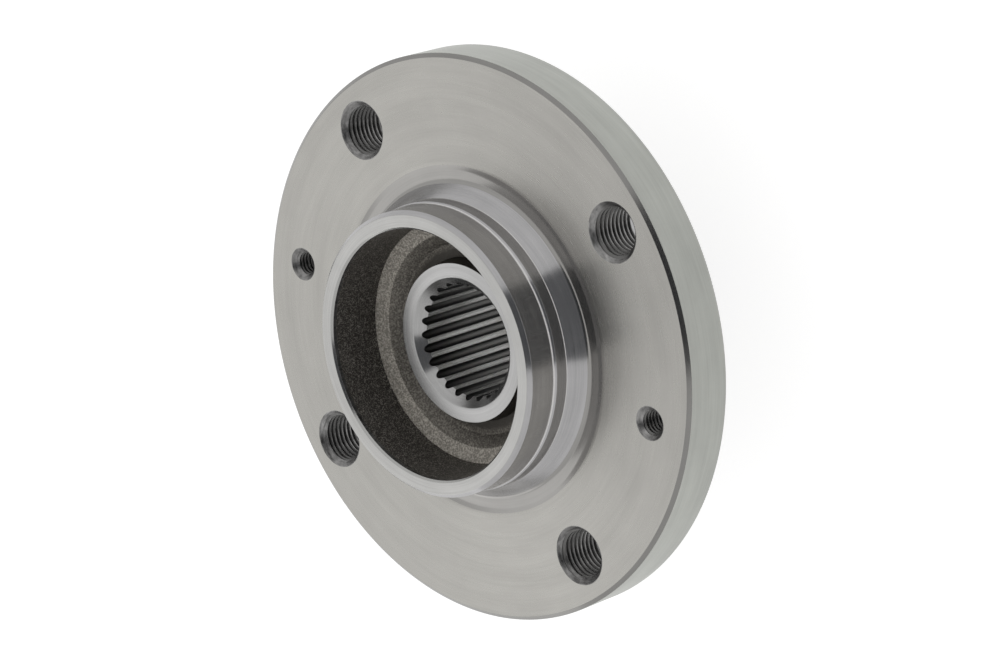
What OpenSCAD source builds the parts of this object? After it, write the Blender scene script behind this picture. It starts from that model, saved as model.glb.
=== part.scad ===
// Front wheel hub for a driven axle: one steel forging, turned, drilled and broached.
// It is drawn region by region, and the regions meet face to face with nothing between them.
// The origin is the centre of the wheel face, and +Z runs along the axle towards the wheel.

/* [Wheel flange] */
// Diameter of the circle that the wheel bolts and the disc screws stand on
bolt_circle_d = 108; // [100:0.5:116]
// Metal from the bolt circle out to the rim
rim_margin = 10.8; // [9:0.1:14]
// Thickness of the flange
flange_t = 12; // [9:0.1:14]
// Chamfer round the wheel face
face_chamfer = 0.9; // [0.4:0.1:2]
// Chamfer round the back of the flange
back_chamfer = 0.3; // [0.2:0.1:2]

/* [Wheel bolt holes] */
// Number of wheel bolts
bolt_count = 4; // [3:1:6]
// Bore of the wheel bolt holes before the thread is cut
bolt_tap_d = 10.75; // [8.5:0.05:12.5]
// Mouth of the countersink of the wheel bolt holes
bolt_sink_d = 13.4; // [12.8:0.1:15]

/* [Disc screw holes] */
// Number of screws that hold the brake disc on
screw_count = 2; // [1:1:4]
// Bore of the disc screw holes before the thread is cut
screw_tap_d = 5; // [4:0.1:6.5]
// Mouth of the countersink of the disc screw holes
screw_sink_d = 7.6; // [6.8:0.1:9]
// Angle from a wheel bolt to the first disc screw
screw_angle = 44.5; // [30:0.5:60]
// Edge break round the bolt and screw holes at the flange's back
hole_back_break = 0.2; // [0.1:0.1:1]

/* [Wheel spigot] */
// Diameter that centres the wheel
wheel_register_d = 65; // [60:0.1:70]
// Length of the register that centres the wheel
wheel_register_h = 6.2; // [4:0.1:12]
// Chamfer on the tip of the spigot
tip_chamfer = 0.9; // [0.4:0.1:2]
// Step from the wheel's register out to the brake disc's
register_step = 0.5; // [0.3:0.1:2]
// Length of the tapered lead between the two registers
lead_h = 1; // [0.5:0.1:3]
// Length of the register that centres the brake disc
disc_register_h = 3; // [2:0.1:8]
// Height of the root cone above the wheel face
root_cone_h = 3.9; // [2:0.1:6]
// How far the root cone spreads from the disc's register
root_cone_spread = 3.1; // [1.5:0.1:5]
// Width of the relief groove at the foot of the cone
relief_w = 3.5; // [2:0.1:5]
// Depth of the relief groove below the wheel face
relief_depth = 0.3; // [0.1:0.05:1]
// Width of the slope on which that groove runs out into the wheel face
relief_slope_w = 1.9; // [0.5:0.1:1.9]

/* [Nut recess] */
// Wall of the spigot from the wheel's register in to the mouth of the recess
spigot_wall = 4.05; // [3:0.05:6]
// Chamfer on the mouth of the recess
mouth_chamfer = 0.5; // [0.2:0.1:1]
// Forging draft of the recess wall
recess_draft = 3; // [1:0.5:7]
// Height of the ledge at the recess wall, above the wheel face
ledge_h = 1.95; // [1:0.05:3.5]
// Width of the ledge
ledge_w = 3.35; // [2:0.05:4]
// Fall of the ledge towards the boss
ledge_fall = 1.25; // [0.5:0.05:2]
// Fall of the slope from the ledge down to the gutter
gutter_fall = 2.3; // [1:0.1:4]
// Width of the slope from the ledge down to the gutter
gutter_slope_w = 2.6; // [1.5:0.1:3.2]
// Radius where the recess wall turns into the ledge
ledge_fillet = 0.9; // [0.3:0.1:1.2]
// Radius in the bottom of the gutter, against the boss
gutter_fillet = 0.7; // [0.3:0.1:0.8]

/* [Nut boss] */
// Diameter of the face that the axle nut seats on
boss_d = 36.5; // [34:0.1:40]
// Height of the nut seat above the wheel face
boss_h = 2.7; // [1.5:0.1:6]
// Forging draft of the side of the boss
boss_draft = 7; // [2:0.5:10]
// Width of the chamfer that leads into the spline, outside the spline's grooves
spline_lead_w = 1.35; // [0.6:0.05:2]

/* [Spline] */
// Number of spline teeth
spline_teeth = 25; // [20:1:30]
// Diameter over the tips of the spline teeth
spline_tip_d = 25.6; // [23:0.1:28]
// Height of the spline teeth
spline_tooth_h = 0.85; // [0.6:0.05:1.1]
// Width of the land on a spline tooth's tip
spline_land = 1.1; // [0.8:0.05:1.4]
// Slope of a spline tooth's flank
spline_flank = 30; // [20:1:36]

/* [Bearing seat] */
// Diameter that the wheel bearing is pressed on
journal_d = 42; // [38:0.1:46]
// Length from the bearing shoulder to the end of the hub
journal_len = 34.5; // [28:0.5:40]
// Length of the taper that leads the bearing on
journal_lead_len = 2.5; // [1:0.1:4]
// Fall of that taper, on the radius
journal_lead_fall = 0.7; // [0.3:0.05:1.5]
// Width of the grinding relief beside the shoulder
grind_w = 2.2; // [1:0.1:4]
// Depth of the grinding relief
grind_depth = 0.3; // [0.1:0.05:0.6]
// How far outside the journal the bearing's abutment face starts, with a chamfer below it
abutment_gap = 0.3; // [0.1:0.05:0.8]
// Diameter of the shoulder that the bearing stands against
shoulder_d = 53; // [50:0.1:60]
// Length of the neck from the flange's back to the shoulder
neck_len = 7; // [6:0.1:12]
// Radius where the neck turns into the flange's back
neck_fillet = 5; // [2:0.5:5.5]
// Chamfer round the shoulder
shoulder_chamfer = 0.6; // [0.3:0.1:1]
// Clearance of the relief bore round the spline's grooves, at the driveshaft end
relief_bore_gap = 0.65; // [0.3:0.05:1.2]
// Length of that relief bore
relief_bore_len = 6; // [3:0.5:12]
// Chamfer on the mouth of the relief bore
relief_bore_chamfer = 1; // [0.5:0.1:2]

/* [Hidden] */
$fn = 180;
// What a cutting shape stands proud of the face that it cuts
over = 1;
turned_steel = [0.70, 0.69, 0.66];
rough_steel = [0.36, 0.34, 0.31];
ground_steel = [0.78, 0.78, 0.79];
flange_r = bolt_circle_d / 2 + rim_margin;
wheel_r = wheel_register_d / 2;
disc_r = wheel_r + register_step;
root_r = disc_r + root_cone_spread;
relief_r = root_r + relief_w;
disc_top = root_cone_h + disc_register_h;
wheel_low = disc_top + lead_h;
spigot_h = wheel_low + wheel_register_h + tip_chamfer;
mouth_r = wheel_r - spigot_wall;
wall_foot_r = mouth_r - (spigot_h - mouth_chamfer - ledge_h) * tan(recess_draft);
ledge_r = wall_foot_r - ledge_w;
ledge_low = ledge_h - ledge_fall;
gutter_z = ledge_low - gutter_fall;
boss_foot_r = boss_d / 2 + (boss_h - gutter_z) * tan(boss_draft);
shoulder_z = -flange_t - neck_len;
hub_end = shoulder_z - journal_len;
journal_r = journal_d / 2;
core_r = journal_r - grind_depth;
spline_root_d = spline_tip_d + 2 * spline_tooth_h;
spline_lead_d = spline_root_d + 2 * spline_lead_w;
relief_bore_d = spline_root_d + 2 * relief_bore_gap;

// Points of a round corner at b between the edges to a and c
function unit(v) = v / norm(v);
function turn(from, to) = (to - from + 540) % 360 - 180;
function bearing_of(v) = atan2(v[1], v[0]);
function round_corner(a, b, c, r, steps = 8) =
    let (
        u = unit(a - b),
        w = unit(c - b),
        half = acos(u * w) / 2,
        centre = b + unit(u + w) * r / sin(half),
        start = bearing_of(b + u * r / tan(half) - centre),
        sweep = turn(start, bearing_of(b + w * r / tan(half) - centre))
    )
    [for (i = [0:steps]) centre + r * [cos(start + sweep * i / steps), sin(start + sweep * i / steps)]];

// Cutting shape of one hole through the flange, sunk in the wheel face, with its edge broken at the back
module screw_hole(tap_d, sink_d) {
    tap_r = tap_d / 2;
    sink_r = sink_d / 2;
    sink_depth = sink_r - tap_r;
    rotate_extrude()
        polygon([
            [0, over],
            [sink_r + over, over],
            [tap_r, -sink_depth],
            [tap_r, -flange_t + hole_back_break],
            [tap_r + hole_back_break + over, -flange_t - over],
            [0, -flange_t - over]
        ]);
}

// Equal holes spaced round the bolt circle
module on_bolt_circle(count, first_angle) {
    for (i = [0:count - 1])
        rotate(first_angle + i * 360 / count)
            translate([bolt_circle_d / 2, 0, 0])
                children();
}

// Outline of one spline groove: straight flanks that run into a full round root
function groove_points(steps = 8) =
    let (
        tip_r = spline_tip_d / 2,
        half_gap = (PI * spline_tip_d / spline_teeth - spline_land) / 2,
        tip_x = sqrt(tip_r * tip_r - half_gap * half_gap),
        depth = spline_root_d / 2 - tip_x,
        root_r = (half_gap * cos(spline_flank) - depth * sin(spline_flank)) / (1 - sin(spline_flank)),
        centre = [tip_x + depth - root_r, 0],
        half_sweep = 90 - spline_flank
    )
    concat(
        [[tip_x, -half_gap]],
        [
            for (i = [0:steps])
                let (angle = half_sweep * (2 * i / steps - 1))
                    centre + root_r * [cos(angle), sin(angle)]
        ],
        [[tip_x, half_gap]]
    );

function turned(p, angle) = [p[0] * cos(angle) - p[1] * sin(angle), p[0] * sin(angle) + p[1] * cos(angle)];

// The broached hole from one level to another
module spline_bore(low, high) {
    groove = groove_points();
    translate([0, 0, low])
        linear_extrude(high - low)
            polygon([
                for (i = [0:spline_teeth - 1])
                    for (p = groove)
                        turned(p, i * 360 / spline_teeth)
            ]);
}

// Disc with the wheel face, the bolt holes and the relief groove
module wheel_flange() {
    color(turned_steel)
        difference() {
            rotate_extrude()
                polygon([
                    [root_r, -relief_depth],
                    [relief_r - relief_slope_w, -relief_depth],
                    [relief_r, 0],
                    [flange_r - face_chamfer, 0],
                    [flange_r, -face_chamfer],
                    [flange_r, -flange_t + back_chamfer],
                    [flange_r - back_chamfer, -flange_t],
                    [root_r, -flange_t]
                ]);
            on_bolt_circle(bolt_count, 0)
                screw_hole(bolt_tap_d, bolt_sink_d);
            on_bolt_circle(screw_count, screw_angle)
                screw_hole(screw_tap_d, screw_sink_d);
        }
}

// Ring that centres the wheel and the brake disc, with the recess wall inside it
module wheel_spigot() {
    wall_top = [mouth_r, spigot_h - mouth_chamfer];
    wall_foot = [wall_foot_r, ledge_h];
    color(ground_steel)
        rotate_extrude()
            polygon([
                [wall_foot_r, -relief_depth],
                [root_r, -relief_depth],
                [disc_r, root_cone_h],
                [disc_r, disc_top],
                [wheel_r, wheel_low],
                [wheel_r, spigot_h - tip_chamfer],
                [wheel_r - tip_chamfer, spigot_h],
                [mouth_r + mouth_chamfer, spigot_h],
                wall_top,
                wall_foot
            ]);
}

// Forged floor of the recess, with the ledge and the gutter round the boss
module recess_web() {
    wall_foot = [wall_foot_r, ledge_h];
    ledge_edge = [ledge_r, ledge_low];
    gutter_edge = [ledge_r - gutter_slope_w, gutter_z];
    gutter_foot = [boss_foot_r, gutter_z];
    color(rough_steel)
        rotate_extrude()
            polygon(concat(
                [
                    [boss_foot_r, -flange_t],
                    [root_r, -flange_t],
                    [root_r, -relief_depth],
                    [wall_foot_r, -relief_depth],
                    wall_foot
                ],
                round_corner(wall_foot, ledge_edge, gutter_edge, ledge_fillet),
                round_corner(ledge_edge, gutter_edge, gutter_foot, gutter_fillet),
                [gutter_foot]
            ));
}

// Raised seat for the axle nut, with the first stretch of the spline
module nut_boss() {
    lead_depth = (spline_lead_d - spline_tip_d) / 2;
    color(ground_steel)
        difference() {
            rotate_extrude()
                polygon([
                    [0, -flange_t],
                    [boss_foot_r, -flange_t],
                    [boss_foot_r, gutter_z],
                    [boss_d / 2, boss_h],
                    [0, boss_h]
                ]);
            spline_bore(-flange_t - over, boss_h + over);
            translate([0, 0, boss_h - lead_depth - over])
                cylinder(
                    h = lead_depth + 2 * over,
                    d1 = spline_tip_d - 2 * over,
                    d2 = spline_lead_d + 2 * over
                );
        }
}

// Neck behind the flange, round the journal's core, up to the face that the bearing stands against
module bearing_shoulder() {
    shoulder_r = shoulder_d / 2;
    face_start_r = journal_r + abutment_gap;
    back_edge = [root_r, -flange_t];
    neck_foot = [shoulder_r, -flange_t];
    neck_end = [shoulder_r, shoulder_z];
    color(rough_steel)
        rotate_extrude()
            polygon(concat(
                [
                    [core_r, shoulder_z + face_start_r - core_r],
                    [face_start_r, shoulder_z],
                    [shoulder_r - shoulder_chamfer, shoulder_z],
                    [shoulder_r, shoulder_z + shoulder_chamfer]
                ],
                round_corner(neck_end, neck_foot, back_edge, neck_fillet),
                [[core_r, -flange_t]]
            ));
}

// Cutting shape of the relief bore, with its mouth and the taper that runs out into the spline
module relief_bore() {
    bore_r = relief_bore_d / 2;
    tip_r = spline_tip_d / 2 - over;
    bore_top = hub_end + relief_bore_len;
    rotate_extrude()
        polygon([
            [0, hub_end - over],
            [bore_r + relief_bore_chamfer + over, hub_end - over],
            [bore_r, hub_end + relief_bore_chamfer],
            [bore_r, bore_top],
            [tip_r, bore_top + bore_r - tip_r],
            [0, bore_top + bore_r - tip_r]
        ]);
}

// Ground seat of the wheel bearing on its core, with the rest of the spline and the relief bore
module bearing_journal() {
    color(ground_steel)
        difference() {
            rotate_extrude()
                polygon([
                    [0, hub_end],
                    [journal_r - journal_lead_fall, hub_end],
                    [journal_r, hub_end + journal_lead_len],
                    [journal_r, shoulder_z - grind_w],
                    [core_r, shoulder_z - grind_w + grind_depth],
                    [core_r, -flange_t],
                    [0, -flange_t]
                ]);
            spline_bore(hub_end - over, -flange_t + over);
            relief_bore();
        }
}

wheel_flange();
wheel_spigot();
recess_web();
nut_boss();
bearing_shoulder();
bearing_journal();
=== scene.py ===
"""Looks of a bare front wheel hub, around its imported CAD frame.

The hub is one steel forging. Six dressed pieces stand for its six regions, and they meet where its work
changes: the wheel flange, the spigot, the web in the recess, the nut boss, the bearing shoulder and the
bearing journal. Sizes are in millimetres and angles in degrees unless a name says otherwise; meshes are in
metres.
"""

import logging
import math
from dataclasses import dataclass, field
from enum import Enum
from typing import Any, Callable, Optional, Sequence, Union

import bmesh
import bpy
from mathutils import Matrix, Vector, noise


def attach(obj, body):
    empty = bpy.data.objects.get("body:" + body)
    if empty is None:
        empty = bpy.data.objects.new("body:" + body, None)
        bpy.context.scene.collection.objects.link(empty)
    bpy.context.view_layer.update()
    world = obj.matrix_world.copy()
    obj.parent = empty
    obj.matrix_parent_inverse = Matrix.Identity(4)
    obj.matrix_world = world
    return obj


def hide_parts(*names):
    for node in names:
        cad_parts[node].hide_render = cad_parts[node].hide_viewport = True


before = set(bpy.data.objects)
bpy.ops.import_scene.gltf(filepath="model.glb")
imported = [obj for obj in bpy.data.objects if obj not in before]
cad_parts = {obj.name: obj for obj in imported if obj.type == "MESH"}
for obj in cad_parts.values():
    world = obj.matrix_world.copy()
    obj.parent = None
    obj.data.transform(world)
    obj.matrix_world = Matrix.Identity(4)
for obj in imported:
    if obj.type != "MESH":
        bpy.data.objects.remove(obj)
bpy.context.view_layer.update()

MM = 0.001
BODY = "root"
FACETS_ROUND = 288
FACET_TURN_DEG = 18.0
SHARP_ABOVE_DEG = 20.0
SINK_BREAK_DEG = 22.5
TINY = 1e-6
WHITE = (1.0, 1.0, 1.0, 1.0)
REPORT = logging.getLogger("wheel_hub")


class Finish(Enum):
    """Finishes that the forging's surfaces have."""

    WHEEL_FACE = "turned_wheel_face"
    ROOT_GROOVE = "turned_root_groove"
    EDGE = "chamfered_edge"
    RIM = "oxidised_rim"
    BACK_FACE = "turned_back_face"
    REGISTER = "turned_register"
    CONE = "turned_root_cone"
    TIP = "faced_spigot_tip"
    RECESS_WALL = "forged_recess_wall"
    LEDGE = "blasted_ledge"
    GUTTER = "forged_gutter"
    NUT_SEAT = "faced_nut_seat"
    SPLINE = "broached_spline"
    SINK = "bored_sink"
    THREAD = "cut_thread"
    GROUND = "ground_bearing_seat"


FORGED = (Finish.RECESS_WALL, Finish.LEDGE, Finish.GUTTER)


# Outlines and turned meshes


@dataclass(frozen=True)
class Corner:
    """A corner of a turned outline.

    Args:
        r: Distance from the axle's line.
        z: Height above the wheel face.
        finish: Finish of the surface from here to the next corner.
        radius: Radius that rounds the corner.
        cuts: Further rings on the way to the next corner, for an uneven skin.
    """

    r: float
    z: float
    finish: Finish
    radius: float = 0.0
    cuts: int = 0


def sharp(finish: Finish, *spots: tuple[float, float]) -> list[Corner]:
    """Sharp corners at some radii and heights, all with one finish."""
    return [Corner(r, z, finish) for r, z in spots]


@dataclass(frozen=True)
class Ring:
    """One ring of a turned mesh, and the finish of the band that follows it."""

    r: float
    z: float
    finish: Finish


class Outline:
    """A turned outline, closed unless it starts and ends on the axle's line."""

    SUPPORT = 0.06
    SUPPORT_SHARE = 0.3

    def __init__(self, corners: Sequence[Corner]) -> None:
        """Keeps the corners, in order round the outline."""
        self.corners = list(corners)

    def rings(self) -> list[Ring]:
        """The rings of all corners in order, each followed by the further rings that its corner asks for."""
        turns = [self._turn(i) for i in range(len(self.corners))]
        found: list[Ring] = []
        for i, corner in enumerate(self.corners):
            found += turns[i]
            last, end = turns[i][-1], turns[(i + 1) % len(turns)][0]
            for k in range(1, corner.cuts + 1):
                share = k / (corner.cuts + 1)
                r, z = last.r + (end.r - last.r) * share, last.z + (end.z - last.z) * share
                found.append(Ring(r, z, corner.finish))
        return found

    def _turn(self, i: int) -> list[Ring]:
        """The rings at one corner.

        Args:
            i: Number of the corner.

        Returns:
            One ring at a sharp corner. At a rounded one the arc's rings, with a ring on each side of them
            that keeps the flats flat.
        """
        before, corner, after = (self.corners[(i + k) % len(self.corners)] for k in (-1, 0, 1))
        if corner.radius <= 0:
            return [Ring(corner.r, corner.z, corner.finish)]
        here = Vector((corner.r, corner.z))
        back, ahead = Vector((before.r, before.z)) - here, Vector((after.r, after.z)) - here
        u, w = back.normalized(), ahead.normalized()
        half = u.angle(w) / 2
        reach = corner.radius / math.tan(half)
        centre = here + (u + w).normalized() * corner.radius / math.sin(half)
        start, end = here + u * reach - centre, here + w * reach - centre
        sweep = math.atan2(start.x * end.y - start.y * end.x, start.dot(end))
        steps = max(2, math.ceil(math.degrees(abs(sweep)) / FACET_TURN_DEG + TINY))
        sides = []
        for along, length in ((u, back.length), (w, ahead.length)):
            room = max(0.0, length - reach)
            sides.append(here + along * (reach + min(self.SUPPORT, room * self.SUPPORT_SHARE)))
        found = [Ring(sides[0].x, sides[0].y, before.finish)]
        for k in range(steps + 1):
            turn = Matrix.Rotation(sweep * k / steps, 2) @ start
            found.append(Ring(centre.x + turn.x, centre.y + turn.y, corner.finish))
        return found + [Ring(sides[1].x, sides[1].y, corner.finish)]


def place(name: str, mesh: bpy.types.Mesh) -> bpy.types.Object:
    """Puts a mesh in the scene as an object at the origin."""
    made = bpy.data.objects.new(name, mesh)
    bpy.context.scene.collection.objects.link(made)
    return made


def mesh_of(
    name: str, points: Sequence[Vector], faces: Sequence[tuple], finishes: Sequence[Finish]
) -> bpy.types.Mesh:
    """Makes a closed mesh whose faces point outwards.

    Args:
        name: The mesh's name.
        points: Its points, in millimetres.
        faces: Its faces, as point numbers.
        finishes: One finish for each face.

    Returns:
        The mesh, in metres, with one material slot for each finish it has.
    """
    mesh = bpy.data.meshes.new(name)
    mesh.from_pydata([p * MM for p in points], [], faces)
    slots = list(dict.fromkeys(finishes))
    for finish in slots:
        mesh.materials.append(bpy.data.materials[finish.value])
    mesh.polygons.foreach_set("material_index", [slots.index(f) for f in finishes])
    shape = bmesh.new()
    shape.from_mesh(mesh)
    bmesh.ops.recalc_face_normals(shape, faces=shape.faces)
    if shape.calc_volume(signed=True) < 0:
        bmesh.ops.reverse_faces(shape, faces=shape.faces)
    shape.to_mesh(mesh)
    shape.free()
    return mesh


def turned_mesh(name: str, corners: Sequence[Corner], around: int = FACETS_ROUND) -> bpy.types.Mesh:
    """Turns an outline round the axle's line.

    Args:
        name: The mesh's name.
        corners: The outline's corners. One on the axle's line becomes one point.
        around: Facets round the axle's line.

    Returns:
        The closed mesh.
    """
    rings = Outline(corners).rings()
    points: list[Vector] = []
    loops: list[list[int]] = []
    for ring in rings:
        first = len(points)
        on_axis = ring.r < TINY
        for k in range(1 if on_axis else around):
            angle = math.tau * k / around
            points.append(Vector((ring.r * math.cos(angle), ring.r * math.sin(angle), ring.z)))
        loops.append([first + (0 if on_axis else k) for k in range(around)])
    faces, finishes = [], []
    open_ended = rings[0].r < TINY
    for i in range(len(rings) - 1 if open_ended else len(rings)):
        low, high = loops[i], loops[(i + 1) % len(rings)]
        for k in range(around):
            after = (k + 1) % around
            face = tuple(dict.fromkeys((low[k], high[k], high[after], low[after])))
            if len(face) > 2:
                faces.append(face)
                finishes.append(rings[i].finish)
    return mesh_of(name, points, faces, finishes)


def prism_mesh(
    name: str, outline: Sequence[Vector], low: float, high: float, finish: Finish
) -> bpy.types.Mesh:
    """A straight prism along the axle's line.

    Args:
        name: The mesh's name.
        outline: Points of its section, in order.
        low: Height of its lower end.
        high: Height of its upper end.
        finish: Finish of all its faces.

    Returns:
        The closed mesh.
    """
    count = len(outline)
    points = [Vector((p.x, p.y, z)) for z in (low, high) for p in outline]
    faces: list[tuple] = [(k, (k + 1) % count, (k + 1) % count + count, k + count) for k in range(count)]
    faces += [tuple(reversed(range(count))), tuple(range(count, 2 * count))]
    return mesh_of(name, points, faces, [finish] * len(faces))


# Node trees


class Board:
    """A node tree that is filled by calls."""

    def __init__(self, tree: bpy.types.NodeTree) -> None:
        """Keeps the tree."""
        self.tree = tree

    @classmethod
    def fresh(cls, owner: Union[bpy.types.Material, bpy.types.World]) -> "Board":
        """The emptied tree of a material or world."""
        owner.use_nodes = True
        owner.node_tree.nodes.clear()
        return cls(owner.node_tree)

    def node(
        self,
        kind: str,
        settings: Optional[dict[str, Any]] = None,
        sockets: Optional[dict[Union[str, int], Any]] = None,
    ) -> bpy.types.Node:
        """Adds a node.

        Args:
            kind: The node's type.
            settings: Its own settings, set first.
            sockets: Values or links of its inputs, by name or number.

        Returns:
            The node.
        """
        made = self.tree.nodes.new(kind)
        for name, value in (settings or {}).items():
            setattr(made, name, value)
        for key, value in (sockets or {}).items():
            self.feed(made.inputs[key], value)
        return made

    def feed(self, socket: bpy.types.NodeSocket, value: Any) -> None:
        """Links a socket to a sum, an output or a node's first output, or sets it to a plain value."""
        if isinstance(value, Value):
            value = value.socket
        elif isinstance(value, bpy.types.Node):
            value = value.outputs[0]
        if isinstance(value, bpy.types.NodeSocket):
            self.tree.links.new(value, socket)
        else:
            socket.default_value = value

    def spot(self, **parts: Any) -> bpy.types.Node:
        """A vector of X, Y and Z. A part that isn't given is 0."""
        return self.node("ShaderNodeCombineXYZ", None, parts)

    def value(self, node: bpy.types.Node, output: int = 0) -> "Value":
        """An output of a node, to be used in sums."""
        return Value(self, node.outputs[output])


Number = Union[float, "Value"]


def sum_of(operation: str, swapped: bool = False) -> Callable[["Value", Number], "Value"]:
    """Makes the method of Value that adds one kind of Math node.

    Args:
        operation: The node's operation.
        swapped: Whether the other number comes first, as in an operator's reflected form.

    Returns:
        The method.
    """

    def method(self: "Value", other: Number) -> "Value":
        """This and the other number in one Math node."""
        return self.math(operation, *((other, self) if swapped else (self, other)))

    return method


class Value:
    """A number that a node gives, used in sums as a plain number is."""

    def __init__(self, board: Board, socket: bpy.types.NodeSocket) -> None:
        """Keeps the tree and the socket."""
        self.board, self.socket = board, socket

    def math(self, operation: str, *numbers: Number, clamp: bool = False) -> "Value":
        """Adds a Math node on some numbers."""
        settings = {"operation": operation, "use_clamp": clamp}
        return self.board.value(self.board.node("ShaderNodeMath", settings, dict(enumerate(numbers))))

    __add__, __radd__ = sum_of("ADD"), sum_of("ADD", True)
    __sub__, __rsub__ = sum_of("SUBTRACT"), sum_of("SUBTRACT", True)
    __mul__, __rmul__ = sum_of("MULTIPLY"), sum_of("MULTIPLY", True)
    __truediv__, __rtruediv__ = sum_of("DIVIDE"), sum_of("DIVIDE", True)
    __pow__ = sum_of("POWER")
    larger, smaller = sum_of("MAXIMUM"), sum_of("MINIMUM")

    def __neg__(self) -> "Value":
        """This with the other sign."""
        return self * -1.0

    def clamped(self) -> "Value":
        """This, held between 0 and 1."""
        return self.math("ADD", self, 0.0, clamp=True)

    def root(self) -> "Value":
        """The square root."""
        return self.math("SQRT", self)

    def size(self) -> "Value":
        """This without its sign."""
        return self.math("ABSOLUTE", self)

    def wave(self, operation: str) -> "Value":
        """The sine or cosine of this, in radians."""
        return self.math(operation, self)


# Finishes


class Surface:
    """What a finish's nodes can ask of the surface: places in millimetres, and noise."""

    DRILL_DRIFT = 0.22
    BROACH_DRIFT = 0.01

    def __init__(self, board: Board) -> None:
        """Reads the place of the point on the hub."""
        self.board = board
        self.object = board.node("ShaderNodeTexCoord").outputs["Object"]
        parts = board.node("ShaderNodeSeparateXYZ", None, {0: self.object})
        x, y, z = (board.value(parts, i) for i in range(3))
        self.out = (x * x + y * y).root() / MM
        self.up = z / MM
        self.across, self.along = x / MM, y / MM

    def noise(self, spot: Any, width: float, detail: float, roughness: float = 0.6, w: Any = None) -> Value:
        """Noise on a place.

        Args:
            spot: The place, as a vector.
            width: Width of the noise's coarsest swells.
            detail: Octaves of finer swells.
            roughness: Strength of the finer swells.
            w: A fourth coordinate, where one is needed.

        Returns:
            The noise, from 0 to 1.
        """
        settings = {"noise_dimensions": "3D" if w is None else "4D"}
        sockets = {"Vector": spot, "Scale": 1.0 / width, "Detail": detail, "Roughness": roughness}
        if w is not None:
            sockets["W"] = w
        return self.board.value(self.board.node("ShaderNodeTexNoise", settings, sockets))

    def grain(self, size: float, detail: float = 2.0, roughness: float = 0.6) -> Value:
        """Noise of one size in all directions."""
        return self.noise(self.object, size * MM, detail, roughness)

    def lay(self, width: float, length: float = 14.0, detail: float = 3.0, shift: float = 0.0) -> Value:
        """Marks of a turning tool: streaks round the axle's line, on faces and cylinders alike.

        Args:
            width: Width of a streak.
            length: Length of a streak.
            detail: Octaves of finer streaks.
            shift: Radius that sets one layer of streaks apart from another.

        Returns:
            The marks, from 0 to 1.
        """
        drift = width / length
        spot = self.board.spot(X=self.out + shift, Y=self.up, Z=self.across * drift)
        return self.noise(spot, width, detail, w=self.along * drift)

    def drill(self, width: float) -> Value:
        """Marks of a boring tool: broken rings round the flange's nearest hole."""
        x, y = self.across.size(), self.along.size()
        far, near = x.larger(y), x.smaller(y)
        bolt = ((far - DATUMS.bolt_circle_r) ** 2 + near**2).root()
        turn = math.radians(DATUMS.screw_angle)
        side, ahead = DATUMS.bolt_circle_r * math.cos(turn), DATUMS.bolt_circle_r * math.sin(turn)
        screw = ((far - side) ** 2 + (near - ahead) ** 2).root()
        drifts = self.across * self.DRILL_DRIFT, self.along * self.DRILL_DRIFT
        return self.noise(self.board.spot(X=bolt.smaller(screw), Y=drifts[0], Z=drifts[1]), width, 2.0)

    def broach(self, width: float) -> Value:
        """Marks of a broach: lines along the axle."""
        spot = self.board.spot(X=self.across, Y=self.along, Z=self.up * self.BROACH_DRIFT)
        return self.noise(spot, width, 2.0)

    def mix(self, share: Value, dark: Any, light: Any) -> bpy.types.NodeSocket:
        """A colour between two colours."""
        settings = {"data_type": "RGBA", "clamp_factor": True}
        pair = {0: share, 6: dark, 7: light}
        pair = {key: (*one, 1.0) if isinstance(one, tuple) else one for key, one in pair.items()}
        return self.board.node("ShaderNodeMix", settings, pair).outputs[2]

    def bump(self, height: Value, depth: float) -> bpy.types.Node:
        """A bump of that depth, in millimetres."""
        sockets = {"Height": height, "Distance": depth * MM, "Strength": 1.0}
        return self.board.node("ShaderNodeBump", None, sockets)


class Steel:
    """A finish of the hub's steel."""

    def paint(self, material: bpy.types.Material) -> None:
        """Builds the finish in a material's nodes."""
        board = Board.fresh(material)
        shader = board.node("ShaderNodeBsdfPrincipled", None, self.sockets(Surface(board)))
        board.node("ShaderNodeOutputMaterial", None, {"Surface": shader})

    def sockets(self, surface: Surface) -> dict[str, Any]:
        """Values and links of the shader's inputs by name."""
        raise NotImplementedError


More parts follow.
